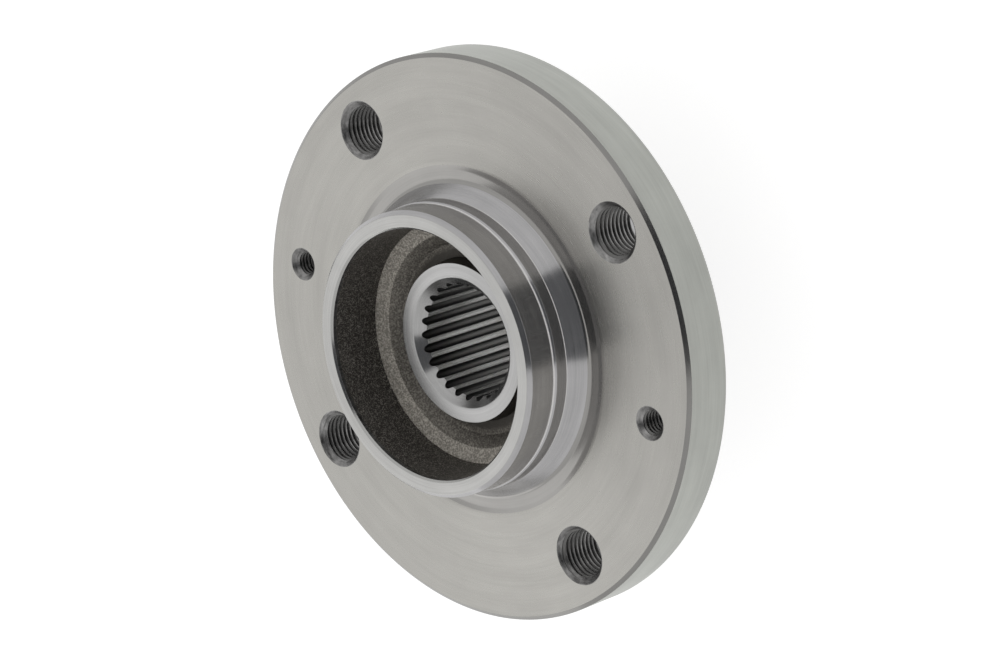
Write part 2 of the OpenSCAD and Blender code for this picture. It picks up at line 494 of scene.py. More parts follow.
@dataclass(frozen=True)
class MachinedSteel(Steel):
    """Steel left by a turning or facing tool.

    Args:
        colour: Its colour.
        contrast: How far the tool's marks and the broad tone stray from it.
        roughness: Its roughness.
        mark: Width of a tool mark.
        depth: Depth of the marks.
        one_way: How much rougher it is across the marks than along them.
        metal: How much of it is bare metal. The rest is a thin film of oil and dust.
        bored: The marks run round the nearest hole instead of round the axle.
    """

    BAND_MARKS, BAND_LENGTH, BAND_DETAIL, BAND_SHIFT = 7, 40.0, 2.0, 31.0
    BROAD_SIZE, HANDLED_SIZE = 14.0, 2.6
    MARKS_TONE, BANDS_TONE, BROAD_TONE, HANDLED_TONE = 0.35, 0.35, 0.2, 0.1
    DARK_END, SPREAD = 0.32, 2.8
    MARKS_ROUGH, HANDLED_ROUGH = 0.10, 0.05
    QUARTER_TURN = 0.25

    colour: tuple[float, float, float]
    contrast: float = 0.10
    roughness: float = 0.26
    mark: float = 0.22
    depth: float = 0.0015
    one_way: float = 0.7
    metal: float = 1.0
    bored: bool = False

    def sockets(self, surface: Surface) -> dict[str, Any]:
        """Values and links of the shader's inputs by name."""
        marks = surface.drill(self.mark) if self.bored else surface.lay(self.mark)
        bands = surface.lay(self.mark * self.BAND_MARKS, self.BAND_LENGTH, self.BAND_DETAIL, self.BAND_SHIFT)
        broad, handled = surface.grain(self.BROAD_SIZE), surface.grain(self.HANDLED_SIZE)
        tone = marks * self.MARKS_TONE + bands * self.BANDS_TONE
        tone = (tone + broad * self.BROAD_TONE + handled * self.HANDLED_TONE - self.DARK_END) * self.SPREAD
        dark = tuple(c * (1 - self.contrast) for c in self.colour)
        light = tuple(min(1.0, c * (1 + self.contrast)) for c in self.colour)
        rough = self.roughness + (marks - 0.5) * self.MARKS_ROUGH + (handled - 0.5) * self.HANDLED_ROUGH
        return {
            "Base Color": surface.mix(tone, dark, light),
            "Metallic": self.metal,
            "Roughness": rough.clamped(),
            "Anisotropic": self.one_way,
            "Anisotropic Rotation": self.QUARTER_TURN,
            "Normal": surface.bump(marks, self.depth),
        }


@dataclass(frozen=True)
class BroachedSteel(Steel):
    """Spline teeth: bright lands where the bore was sized, and dull grooves between them.

    Args:
        land: Colour of the lands.
        flank: Colour of the teeth's flanks, painted darker than the bottom of the grooves as painted shade.
        groove: Colour at the bottom of the grooves.
        land_r: Radius up to which a tooth counts as land.
        fade: How far the change from land to flank reaches.
        groove_r: Radius from which a flank turns into the bottom of its groove.
        groove_fade: How far that change reaches.
        roughness: Roughness of the lands.
        hollow_rough: How much rougher the grooves are.
        mark: Width of a broach mark.
        mark_rough: How much a mark changes the roughness.
        depth: Depth of the marks.
        streaks: How far the broach's marks dull a land.
        painted_shade_from: Height from which painted shade darkens the grooves towards the mouth of the bore.
        painted_shade_over: How far that takes to be complete.
        painted_shade_factor: How much of the light the painted shade leaves.
        metal: How much of it is bare metal.
    """

    land: tuple[float, float, float]
    flank: tuple[float, float, float]
    groove: tuple[float, float, float]
    land_r: float = 12.8
    fade: float = 0.08
    groove_r: float = 13.3
    groove_fade: float = 0.2
    roughness: float = 0.14
    hollow_rough: float = 0.15
    mark: float = 0.2
    mark_rough: float = 0.1
    depth: float = 0.001
    streaks: float = 2.2
    painted_shade_from: float = -14.0
    painted_shade_over: float = 15.0
    painted_shade_factor: float = 0.3
    metal: float = 0.93

    def sockets(self, surface: Surface) -> dict[str, Any]:
        """Values and links of the shader's inputs by name."""
        marks = surface.broach(self.mark)
        depth = (surface.out - self.land_r) / self.fade + (marks - 0.5) * self.streaks
        bottom = (surface.out - self.groove_r) / self.groove_fade + (marks - 0.5) * self.streaks
        # Painted shade: the grooves are painted darker towards the mouth of the bore, for the dark that they
        # reflect there.
        painted_shade_share = (surface.up - self.painted_shade_from) / self.painted_shade_over
        # Painted shade: the flanks take a darker colour than the bottom of the grooves.
        hollow = surface.mix(bottom, self.flank, self.groove)
        hollow = surface.mix(painted_shade_share, hollow, tuple(c * self.painted_shade_factor for c in self.flank))
        rough = self.roughness + depth.clamped() * self.hollow_rough + (marks - 0.5) * self.mark_rough
        return {
            "Base Color": surface.mix(depth, self.land, hollow),
            "Metallic": self.metal,
            "Roughness": rough.clamped(),
            "Normal": surface.bump(marks, self.depth),
        }


@dataclass(frozen=True)
class ForgedSkin(Steel):
    """Grainy skin that the forging die and the shot leave.

    Args:
        dark: Colour in the pits.
        light: Colour of the high grains.
        grain: Size of a grain.
        depth: Height of the grains.
        roughness: Its roughness.
        metal: How much it shines as metal through the scale.
        level: Share of the surface that lies in the pits.
        shade_and_grime_r: Radius inside which the gutter round the boss is painted darker, as painted shade
            with some grime; 0 for none.
        painted_shade_factor: How much of the light that darkening leaves.
    """

    COARSE_GRAINS = 3.0
    FINE_TONE, COARSE_TONE, SPREAD = 0.8, 0.2, 4.0
    FINE_HEIGHT, COARSE_HEIGHT = 0.7, 0.3
    FINE_ROUGH = 0.25
    DIRT_FADE, DIRT_RAGGED = 0.8, 2.0
    SMOOTHED = 0.5

    dark: tuple[float, float, float]
    light: tuple[float, float, float]
    grain: float = 0.4
    depth: float = 0.06
    roughness: float = 0.5
    metal: float = 0.6
    level: float = 0.42
    shade_and_grime_r: float = 0.0
    painted_shade_factor: float = 0.75

    def sockets(self, surface: Surface) -> dict[str, Any]:
        """Values and links of the shader's inputs by name."""
        fine = surface.grain(self.grain, 1.0, self.SMOOTHED)
        coarse = surface.grain(self.grain * self.COARSE_GRAINS, 2.0, self.SMOOTHED)
        share = (fine * self.FINE_TONE + coarse * self.COARSE_TONE - self.level) * self.SPREAD
        tone = surface.mix(share, self.dark, self.light)
        # Painted shade with some grime: inside a radius the gutter is painted darker towards the boss, with a
        # ragged edge.
        if self.shade_and_grime_r:
            near = (self.shade_and_grime_r - surface.out) / self.DIRT_FADE + (coarse - 0.5) * self.DIRT_RAGGED
            tone = surface.mix(near, tone, tuple(c * self.painted_shade_factor for c in self.dark))
        rough = self.roughness + (fine - 0.5) * self.FINE_ROUGH
        return {
            "Base Color": tone,
            "Metallic": self.metal,
            "Roughness": rough.clamped(),
            "Normal": surface.bump(fine * self.FINE_HEIGHT + coarse * self.COARSE_HEIGHT, self.depth),
        }


STEEL_WARM = (0.326, 0.319, 0.300)
STEEL_COOL = (0.505, 0.495, 0.493)

FINISHES: dict[Finish, Steel] = {
    Finish.WHEEL_FACE: MachinedSteel(STEEL_WARM, contrast=0.12, roughness=0.262, mark=0.55, one_way=0.8),
    Finish.ROOT_GROOVE: MachinedSteel((0.272, 0.266, 0.256), roughness=0.17),
    Finish.EDGE: MachinedSteel((0.22, 0.216, 0.208), roughness=0.23, mark=0.4),
    Finish.RIM: MachinedSteel((0.392, 0.40, 0.374), contrast=0.16, roughness=0.42, mark=0.35),
    Finish.BACK_FACE: MachinedSteel(STEEL_WARM, contrast=0.22, roughness=0.34, mark=0.5, depth=0.008),
    Finish.REGISTER: MachinedSteel(STEEL_COOL, contrast=0.2, roughness=0.16, metal=0.89),
    Finish.CONE: MachinedSteel((0.36, 0.356, 0.359), contrast=0.16, roughness=0.2, depth=0.0012, metal=0.965),
    Finish.TIP: MachinedSteel((0.343, 0.341, 0.332), contrast=0.18, roughness=0.22),
    Finish.NUT_SEAT: MachinedSteel((0.345, 0.343, 0.34), contrast=0.18, roughness=0.22, metal=0.9),
    Finish.SPLINE: BroachedSteel((0.9, 0.9, 0.89), (0.13, 0.13, 0.13), (0.30, 0.30, 0.295)),
    Finish.SINK: MachinedSteel(
        (0.205, 0.202, 0.199), contrast=0.95, roughness=0.4, mark=0.34, depth=0.04, one_way=0.0, bored=True
    ),
    Finish.THREAD: MachinedSteel((0.13, 0.128, 0.125), roughness=0.36, one_way=0.0),
    Finish.GROUND: MachinedSteel((0.44, 0.438, 0.44), contrast=0.07, roughness=0.16, mark=0.2, depth=0.0008),
    Finish.RECESS_WALL: ForgedSkin(
        (0.052, 0.047, 0.041), (0.35, 0.33, 0.30), grain=0.3, depth=0.07, level=0.46
    ),
    # Painted light and shade on one forged skin: the ledge is painted lighter, and the slope and the gutter
    # darker.
    Finish.LEDGE: ForgedSkin((0.19, 0.177, 0.156), (0.48, 0.449, 0.397), depth=0.14),
    Finish.GUTTER: ForgedSkin((0.085, 0.078, 0.067), (0.235, 0.218, 0.19), depth=0.11, shade_and_grime_r=21.1),
}


def mix_finishes() -> None:
    """Builds one material for each finish."""
    for finish, steel in FINISHES.items():
        steel.paint(bpy.data.materials.new(finish.value))
        REPORT.info("finish %s", finish.value)


# Geometry Nodes that cut the holes


@dataclass(frozen=True)
class Circle:
    """Where copies of a cut stand round the axle's line. It is one cut on the line unless said otherwise."""

    count: int = 1
    radius: float = 0.0
    first_deg: float = 0.0

    def inputs(self) -> dict[str, Any]:
        """The circle as inputs of a cutting tree."""
        first = math.radians(self.first_deg)
        return {"Count": self.count, "Circle radius": self.radius * MM, "First angle": first}


class CuttingTree:
    """A tree that takes copies of a cutting shape, set round a circle, out of a blank.

    Its inputs are named with the kind of their sockets: those that all such trees share, and its own.
    """

    NAME = "cut_round_circle"
    CUT_MARK = "cut_face"
    SHARED = {
        "Blank": "NodeSocketGeometry",
        "Count": "NodeSocketInt",
        "Circle radius": "NodeSocketFloat",
        "First angle": "NodeSocketFloat",
        "Finish": "NodeSocketMaterial",
    }
    OWN = {"Cutting shape": "NodeSocketObject"}

    def __init__(self) -> None:
        """Builds the tree."""
        self.tree = bpy.data.node_groups.new(self.NAME, "GeometryNodeTree")
        self.sockets = {}
        for name, kind in {**self.SHARED, **self.OWN}.items():
            made = self.tree.interface.new_socket(name, in_out="INPUT", socket_type=kind)
            self.sockets[name] = made.identifier
        self.tree.interface.new_socket("Part", in_out="OUTPUT", socket_type="NodeSocketGeometry")
        self.board = Board(self.tree)
        self.given = self.board.node("NodeGroupInput").outputs
        self._build()

    def _marked(self, geometry: Any, cut: bool) -> bpy.types.Node:
        """Marks the faces of a mesh as cut or not."""
        settings = {"data_type": "BOOLEAN", "domain": "FACE"}
        sockets = {"Geometry": geometry, "Name": self.CUT_MARK, "Value": cut}
        return self.board.node("GeometryNodeStoreNamedAttribute", settings, sockets)

    def _shape(self) -> Any:
        """The mesh of one cutting shape."""
        sockets = {"Object": self.given["Cutting shape"]}
        info = self.board.node("GeometryNodeObjectInfo", {"transform_space": "ORIGINAL"}, sockets)
        return info.outputs["Geometry"]

    def _build(self) -> None:
        """Sets the shapes round the circle, cuts them out, and gives the cut faces their finish."""
        board, given = self.board, self.given
        count, radius = Value(board, given["Count"]), Value(board, given["Circle radius"])
        index = board.value(board.node("GeometryNodeInputIndex"))
        angle = index * math.tau / count + Value(board, given["First angle"])
        spot = board.spot(X=angle.wave("COSINE") * radius, Y=angle.wave("SINE") * radius)
        points = board.node("GeometryNodePoints", None, {"Count": count, "Position": spot})
        turn = board.node("FunctionNodeEulerToRotation", None, {0: board.spot(Z=angle)})
        shape = self._marked(self._shape(), True)
        copies = board.node(
            "GeometryNodeInstanceOnPoints", None, {"Points": points, "Instance": shape, "Rotation": turn}
        )
        cut = board.node(
            "GeometryNodeMeshBoolean",
            {"operation": "DIFFERENCE", "solver": "MANIFOLD"},
            {"Mesh 1": self._marked(given["Blank"], False), "Mesh 2": copies},
        )
        part = board.node("GeometryNodeRealizeInstances", None, {0: cut})
        named = {"Name": self.CUT_MARK}
        mark = board.node("GeometryNodeInputNamedAttribute", {"data_type": "BOOLEAN"}, named)
        sockets = {"Geometry": part, "Selection": mark, "Material": given["Finish"]}
        done = board.node("GeometryNodeSetMaterial", None, sockets)
        board.node("NodeGroupOutput", None, {0: done})

    def cut(self, blank: bpy.types.Object, finish: Finish, circle: Circle, own: dict[str, Any]) -> None:
        """Cuts a blank, and keeps the result as its plain mesh.

        Args:
            blank: The object that is cut.
            finish: Finish of the new faces.
            circle: Where the cuts stand.
            own: The tree's own inputs by name.
        """
        step = blank.modifiers.new(self.NAME, "NODES")
        step.node_group = self.tree
        step[self.sockets["Finish"]] = bpy.data.materials[finish.value]
        for name, value in {**circle.inputs(), **own}.items():
            step[self.sockets[name]] = value
        bpy.context.view_layer.update()
        seen = blank.evaluated_get(bpy.context.evaluated_depsgraph_get())
        mesh = bpy.data.meshes.new_from_object(seen)
        blank.modifiers.remove(step)
        mark = mesh.attributes.get(self.CUT_MARK)
        if mark is not None:
            mesh.attributes.remove(mark)
        old, blank.data = blank.data, mesh
        bpy.data.meshes.remove(old)

    def cut_shape(
        self, blank: bpy.types.Object, finish: Finish, mesh: bpy.types.Mesh, circle: Circle = Circle()
    ) -> None:
        """Cuts copies of a closed mesh out of a blank.

        Args:
            blank: The object that is cut.
            finish: Finish of the new faces.
            mesh: The cutting shape.
            circle: Where the cuts stand.
        """
        shape = place(mesh.name, mesh)
        self.cut(blank, finish, circle, {"Cutting shape": shape})
        bpy.data.objects.remove(shape)


class ThreadTree(CuttingTree):
    """A tree that cuts right-hand threads into holes round a circle."""

    NAME = "cut_threads_round_circle"
    OWN = dict.fromkeys(("Pitch", "Turns", "Start height", "Major radius", "Groove depth"), "NodeSocketFloat")
    POINTS_A_TURN = 32
    ROOT_FLAT = 0.14
    FLANK_TAN = math.tan(math.radians(30))

    def _shape(self) -> Any:
        """The groove of one thread: a section swept along a helix."""
        board, given = self.board, self.given
        pitch, depth = Value(board, given["Pitch"]), Value(board, given["Groove depth"])
        turns = Value(board, given["Turns"])
        line = board.node(
            "GeometryNodeCurveSpiral",
            None,
            {
                "Resolution": self.POINTS_A_TURN,
                "Rotations": turns,
                "Start Radius": given["Major radius"],
                "End Radius": given["Major radius"],
                "Height": pitch * turns,
                "Reverse": True,
            },
        )
        upright = board.node("GeometryNodeSetCurveNormal", {"mode": "Z_UP"}, {0: line})
        root_half = pitch * (self.ROOT_FLAT / 2)
        mouth_half = root_half + depth * self.FLANK_TAN
        ends = ((0.0, root_half), (0.0, -root_half), (-depth, -mouth_half), (-depth, mouth_half))
        spots = {f"Point {i + 1}": board.spot(X=outward, Y=up) for i, (outward, up) in enumerate(ends)}
        section = board.node("GeometryNodeCurvePrimitiveQuadrilateral", {"mode": "POINTS"}, spots)
        swept = board.node(
            "GeometryNodeCurveToMesh", None, {"Curve": upright, "Profile Curve": section, "Fill Caps": True}
        )
        facing_out = board.node("GeometryNodeFlipFaces", None, {0: swept})
        start = board.spot(Z=given["Start height"])
        return board.node("GeometryNodeTransform", None, {"Geometry": facing_out, "Translation": start})


# Regions of the forging


@dataclass(frozen=True)
class Datums:
    """Sizes at which the regions of the forging meet, the same as in the CAD source."""

    bolt_circle_r: float = 54.0
    screw_angle: float = 44.5
    flange_r: float = 64.8
    back_z: float = -12.0
    groove_z: float = -0.3
    wall_foot_r: float = 27.79
    ledge_z: float = 1.95
    boss_foot_r: float = 18.78
    gutter_z: float = -1.6
    core_r: float = 20.7
    neck_seat: float = 0.5
    neck_seat_r: float = 31.5
    shoulder_z: float = -19.0
    end_z: float = -53.5
    spline_tip_r: float = 12.8
    spline_root_r: float = 13.65
    cone_foot_r: float = 36.1
    cone_top_r: float = 33.0
    cone_top_z: float = 3.9
    root_seam_r: float = 35.5
    blank_bore_r: float = 11.4

    def seam_z(self) -> float:
        """Height of the root cone where the flange meets the spigot."""
        slope = (self.cone_top_z - self.groove_z) / (self.cone_foot_r - self.cone_top_r)
        return self.groove_z + (self.cone_foot_r - self.root_seam_r) * slope


DATUMS = Datums()


@dataclass
class Region:
    """One region of the forging: a turned blank, its cuts, and its place in the frame."""

    SWELLS = ((5.0, 0.6), (1.7, 0.4))

    node: str = ""
    slot: str = ""
    at: Datums = DATUMS
    unevenness: float = 0.0

    def corners(self) -> list[Corner]:
        """The corners of the turned blank."""
        raise NotImplementedError

    def cut(self, blank: bpy.types.Object) -> None:
        """Cuts what isn't turned. A plain region has no cuts."""

    def make(self) -> bpy.types.Object:
        """Builds the region, dresses it and fixes it to the frame.

        Returns:
            The finished piece.
        """
        mesh = turned_mesh(self.node + "_skin", self.corners())
        if self.unevenness:
            self._roughen(mesh)
        piece = place(self.node + "_piece", mesh)
        self.cut(piece)
        self._smooth(piece.data)
        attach(piece, BODY)
        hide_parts(self.node)
        REPORT.info("piece %s: %d faces", piece.name, len(piece.data.polygons))
        return piece

    def _roughen(self, mesh: bpy.types.Mesh) -> None:
        """Moves the points of forged skins a little along their normals, and leaves seams and cut faces."""
        forged = {i for i, m in enumerate(mesh.materials) if m.name in {f.value for f in FORGED}}
        shape = bmesh.new()
        shape.from_mesh(mesh)
        moves = {}
        for point in shape.verts:
            if all(face.material_index in forged for face in point.link_faces):
                spot = point.co / MM
                swell = sum(noise.noise(spot / size) * share for size, share in self.SWELLS)
                moves[point] = point.normal * swell * self.unevenness * MM
        for point, move in moves.items():
            point.co += move
        shape.to_mesh(mesh)
        shape.free()

    @staticmethod
    def _smooth(mesh: bpy.types.Mesh) -> None:
        """Shades a mesh smooth, with its real edges sharp."""
        mesh.polygons.foreach_set("use_smooth", [True] * len(mesh.polygons))
        mesh.set_sharp_from_angle(angle=math.radians(SHARP_ABOVE_DEG))
        mesh.update()


@dataclass
class TappedHole:
    """A tapped hole through the flange, sunk in the wheel face, with its edge broken at the back."""

    major_r: float
    minor_r: float
    sink_r: float
    pitch: float
    edge: float = 0.14
    back_break: float = 0.2
    first_turn: float = 0.25
    groove_overlap: float = 0.18
    proud: float = 0.9

    def corners(self, top: float, bottom: float) -> list[Corner]:
        """The cutting shape of the bore, with a fine edge break on the sunk mouth.

        Args:
            top: Height of the wheel face.
            bottom: Height of the flange's back.

        Returns:
            The corners of its section.
        """
        rim_r, rim_z = self.sink_r - self.edge / 2, top - self.edge / 2
        return sharp(
            Finish.SINK,
            (0.0, rim_z + self.proud),
            (rim_r + self.proud / math.tan(math.radians(SINK_BREAK_DEG)), rim_z + self.proud),
            (rim_r, rim_z),
            (self.minor_r, top - self.sink_r + self.minor_r),
            (self.minor_r, bottom + self.back_break),
            (self.minor_r + self.back_break + self.proud, bottom - self.proud),
            (0.0, bottom - self.proud),
        )

    def thread(self, bottom: float, length: float) -> dict[str, float]:
        """The thread's own inputs of the cutting tree.

        Args:
            bottom: Height of the flange's back.
            length: Length of the hole.

        Returns:
            The inputs by name, with lengths in metres.
        """
        return {
            "Pitch": self.pitch * MM,
            "Turns": (length + self.pitch) / self.pitch,
            "Start height": (bottom + self.first_turn) * MM,
            "Major radius": self.major_r * MM,
            "Groove depth": (self.major_r - self.minor_r + self.groove_overlap) * MM,
        }


@dataclass
class WheelFlange(Region):
    """Disc with the wheel face, the relief groove, four bolt holes and two screw holes."""

    node: str = "wheel_flange"
    slot: str = "turned_flange"
    foot_fillet: float = 1.2
    groove_end_r: float = 38.6
    groove_end_radius: float = 2.5
    face_start_r: float = 40.2
    face_start_radius: float = 4.0
    edge_run: float = 0.92
    edge_fall: float = 0.72
    edge_radius: float = 0.14
    back_chamfer: float = 0.3
    back_edge_radii: tuple[float, float] = (0.1, 0.12)
    bolt: TappedHole = field(default_factory=lambda: TappedHole(6.0, 5.375, 6.7, 1.25))
    screw: TappedHole = field(default_factory=lambda: TappedHole(3.0, 2.5, 3.8, 1.0))
    hole_facets: int = 96

    def corners(self) -> list[Corner]:
        """The flange's section, from the seam on the spigot's root cone."""
        at = self.at
        rim_back, back_edge = self.back_edge_radii
        return [
            Corner(at.root_seam_r, at.back_z, Finish.WHEEL_FACE),
            Corner(at.root_seam_r, at.seam_z(), Finish.CONE),
            Corner(at.cone_foot_r, at.groove_z, Finish.ROOT_GROOVE, self.foot_fillet),
            Corner(self.groove_end_r, at.groove_z, Finish.ROOT_GROOVE, self.groove_end_radius),
            Corner(self.face_start_r, 0.0, Finish.WHEEL_FACE, self.face_start_radius),
            Corner(at.flange_r - self.edge_run, 0.0, Finish.EDGE, self.edge_radius),
            Corner(at.flange_r, -self.edge_fall, Finish.RIM, self.edge_radius),
            Corner(at.flange_r, at.back_z + self.back_chamfer, Finish.EDGE, rim_back),
            Corner(at.flange_r - self.back_chamfer, at.back_z, Finish.BACK_FACE, back_edge),
        ]

    def cut(self, blank: bpy.types.Object) -> None:
        """Sinks and bores the holes, then cuts their threads."""
        sinks, threads = CuttingTree(), ThreadTree()
        at = self.at
        for hole, count, first in ((self.bolt, 4, 0.0), (self.screw, 2, at.screw_angle)):
            around = Circle(count, at.bolt_circle_r, first)
            bore = turned_mesh("sunk_bore", hole.corners(0.0, at.back_z), self.hole_facets)
            sinks.cut_shape(blank, Finish.SINK, bore, around)
            threads.cut(blank, Finish.THREAD, around, hole.thread(at.back_z, -at.back_z))


@dataclass
class WheelSpigot(Region):
    """Ring that centres the brake disc and the wheel, with the recess wall inside it."""

    node: str = "wheel_spigot"
    slot: str = "turned_spigot"
    unevenness: float = 0.05
    root_radius: float = 0.6
    disc_high: float = 6.94
    disc_edge_radius: float = 0.1
    wheel_r: float = 32.5
    wheel_low: float = 7.54
    step_fillet: float = 1.0
    wheel_high: float = 14.1
    wheel_edge_radius: float = 0.12
    tip_r: float = 31.6
    tip_z: float = 15.0
    tip_edge_radius: float = 0.16
    mouth_r: float = 28.45
    mouth_chamfer: float = 0.45
    lip_depth: float = 1.3
    lip_fall: float = 0.045
    lip_radius: float = 0.1
    wall_cuts: int = 14

    def corners(self) -> list[Corner]:
        """The spigot's section, from the seam on its root cone."""
        at = self.at
        mouth_z = self.tip_z - self.mouth_chamfer
        lip_r, lip_z = self.mouth_r - self.lip_fall, self.tip_z - self.lip_depth
        return [
            *sharp(Finish.REGISTER, (at.wall_foot_r, at.groove_z), (at.root_seam_r, at.groove_z)),
            Corner(at.root_seam_r, at.seam_z(), Finish.CONE),
            Corner(at.cone_top_r, at.cone_top_z, Finish.REGISTER, self.root_radius),
            Corner(at.cone_top_r, self.disc_high, Finish.CONE, self.disc_edge_radius),
            Corner(self.wheel_r, self.wheel_low, Finish.REGISTER, self.step_fillet),
            Corner(self.wheel_r, self.wheel_high, Finish.CONE, self.wheel_edge_radius),
            Corner(self.tip_r, self.tip_z, Finish.TIP, self.tip_edge_radius),
            Corner(self.mouth_r + self.mouth_chamfer, self.tip_z, Finish.TIP, self.tip_edge_radius),
            Corner(self.mouth_r, mouth_z, Finish.SINK, self.tip_edge_radius),
            Corner(lip_r, lip_z, Finish.RECESS_WALL, self.lip_radius, self.wall_cuts),
            Corner(at.wall_foot_r, at.ledge_z, Finish.REGISTER),
        ]


@dataclass
class RecessWeb(Region):
    """Forged floor of the recess: the ledge, the slope and the gutter round the boss."""

    node: str = "recess_web"
    slot: str = "forged_recess"
    unevenness: float = 0.10
    ledge_cuts: int = 5
    ledge_r: float = 24.44
    ledge_low: float = 0.70
    ledge_radius: float = 0.9
    gutter_r: float = 21.84
    gutter_radius: float = 0.7
    gutter_cuts: int = 3

    def corners(self) -> list[Corner]:
        """The web's section, with the pocket that the neck's ring sits in."""
        at = self.at
        seat_z = at.back_z + at.neck_seat
        return [
            *sharp(
                Finish.BACK_FACE,
                (at.boss_foot_r, at.back_z),
                (at.core_r, at.back_z),
                (at.core_r, seat_z),
                (at.neck_seat_r, seat_z),
                (at.neck_seat_r, at.back_z),
                (at.root_seam_r, at.back_z),
                (at.root_seam_r, at.groove_z),
                (at.wall_foot_r, at.groove_z),
            ),
            # The ledge takes a lighter finish and the slope and gutter a darker one: painted light and
            # painted shade.
            Corner(at.wall_foot_r, at.ledge_z, Finish.LEDGE, cuts=self.ledge_cuts),
            Corner(self.ledge_r, self.ledge_low, Finish.GUTTER, self.ledge_radius, self.gutter_cuts),
            Corner(self.gutter_r, at.gutter_z, Finish.GUTTER, self.gutter_radius, self.gutter_cuts),
            Corner(at.boss_foot_r, at.gutter_z, Finish.BACK_FACE),
        ]


@dataclass
class Spline:
    """The broached spline."""

    teeth: int = 25
    land: float = 1.1
    flank_deg: float = 30.0
    root_steps: int = 8
    inner_share: float = 0.93
    bore_facets: int = 300
    overrun: float = 1.0

    def groove(self, at: Datums) -> list[Vector]:
        """The section of one groove: straight flanks that run into a full round root."""
        half_gap = (math.tau * at.spline_tip_r / self.teeth - self.land) / 2
        flank = math.radians(self.flank_deg)
        start = math.sqrt(at.spline_tip_r**2 - half_gap**2)
        depth = at.spline_root_r - start
        root = (half_gap * math.cos(flank) - depth * math.sin(flank)) / (1 - math.sin(flank))
        centre = at.spline_root_r - root
        half_sweep = math.pi / 2 - flank
        inner = start * self.inner_share
        points = [Vector((inner, -half_gap)), Vector((start, -half_gap))]
        for k in range(self.root_steps + 1):
            angle = half_sweep * (2 * k / self.root_steps - 1)
            points.append(Vector((centre + root * math.cos(angle), root * math.sin(angle))))
        return points + [Vector((start, half_gap)), Vector((inner, half_gap))]

    def cut(self, blank: bpy.types.Object, at: Datums, low: float, high: float, tree: CuttingTree) -> None:
        """Bores a blank to the tips of the teeth, then cuts the grooves.

        Args:
            blank: The object that is cut.
            at: The sizes that the regions share.
            low: Height of the blank's lower end.
            high: Height of its upper end.
            tree: The tree that cuts.
        """
        low, high, tip = low - self.overrun, high + self.overrun, at.spline_tip_r
        bore = sharp(Finish.SPLINE, (0.0, high), (tip, high), (tip, low), (0.0, low))
        tree.cut_shape(blank, Finish.SPLINE, turned_mesh("tip_bore", bore, self.bore_facets))
        groove = prism_mesh("groove", self.groove(at), low, high, Finish.SPLINE)
        tree.cut_shape(blank, Finish.SPLINE, groove, Circle(self.teeth))


@dataclass
class NutBoss(Region):
    """Raised seat of the axle nut, with the first stretch of the spline."""

    node: str = "nut_boss"
    slot: str = "machined_boss"
    unevenness: float = 0.06
    side_cuts: int = 4
    seat_r: float = 18.25
    seat_z: float = 2.7
    seat_edge_radius: float = 0.12
    support_r: float = 15.4
    lead_r: float = 15.0
    lead_edge: float = 0.08
    lead_inside: float = 1.0
    lead_tip: float = 4.0
    proud: float = 0.8
    spline: Spline = field(default_factory=Spline)

    def corners(self) -> list[Corner]:
        """The boss's section, with a ring that keeps the seat flat beside the lead-in."""
        at = self.at
        return [
            Corner(at.blank_bore_r, at.back_z, Finish.NUT_SEAT),
            Corner(at.boss_foot_r, at.back_z, Finish.GUTTER),
            Corner(at.boss_foot_r, at.gutter_z, Finish.GUTTER, cuts=self.side_cuts),
            Corner(self.seat_r, self.seat_z, Finish.NUT_SEAT, self.seat_edge_radius),
            *sharp(Finish.NUT_SEAT, (self.support_r, self.seat_z), (at.blank_bore_r, self.seat_z)),
        ]

    def cut(self, blank: bpy.types.Object) -> None:
        """Cuts the spline, and the chamfer that leads into it."""
        tree = CuttingTree()
        at = self.at
        self.spline.cut(blank, at, at.back_z, self.seat_z, tree)
        rim_r, rim_z = self.lead_r - self.lead_edge, self.seat_z - self.lead_edge
        top = rim_z + self.proud * math.tan(math.radians(SINK_BREAK_DEG))
        low_r = at.spline_tip_r - self.lead_inside
        section = sharp(
            Finish.NUT_SEAT,
            (0.0, top),
            (rim_r + self.proud, top),
            (rim_r, rim_z),
            (low_r, self.seat_z - (self.lead_r - low_r)),
            (0.0, self.seat_z - self.lead_tip),
        )
        tree.cut_shape(blank, Finish.NUT_SEAT, turned_mesh("lead_in", section, self.spline.bore_facets))


@dataclass
class BearingShoulder(Region):
    """Neck behind the flange, with the face that the bearing stands against."""

    node: str = "bearing_shoulder"
    slot: str = "turned_shoulder"
    shoulder_r: float = 26.5
    face_start_r: float = 21.3
    face_start_radius: float = 0.1
    chamfer: float = 0.6
    edge_radius: float = 0.12
    fillet: float = 5.0
    fillet_steps: int = 14

    def corners(self) -> list[Corner]:
        """The neck's section, with its fillet run out into the flange's back."""
        at = self.at
        centre_r, centre_z = self.shoulder_r + self.fillet, at.back_z - self.fillet
        arc = []
        for k in range(self.fillet_steps + 1):
            angle = math.radians(180 - 90 * k / self.fillet_steps)
            arc.append((centre_r + self.fillet * math.cos(angle), centre_z + self.fillet * math.sin(angle)))
        seat_z = at.back_z + at.neck_seat
        return [
            Corner(at.core_r, at.shoulder_z + self.face_start_r - at.core_r, Finish.GROUND),
            Corner(self.face_start_r, at.shoulder_z, Finish.GROUND, self.face_start_radius),
            Corner(self.shoulder_r - self.chamfer, at.shoulder_z, Finish.BACK_FACE, self.edge_radius),
            Corner(self.shoulder_r, at.shoulder_z + self.chamfer, Finish.BACK_FACE, self.edge_radius),
            *sharp(Finish.BACK_FACE, *arc, (centre_r, seat_z), (at.core_r, seat_z)),
        ]


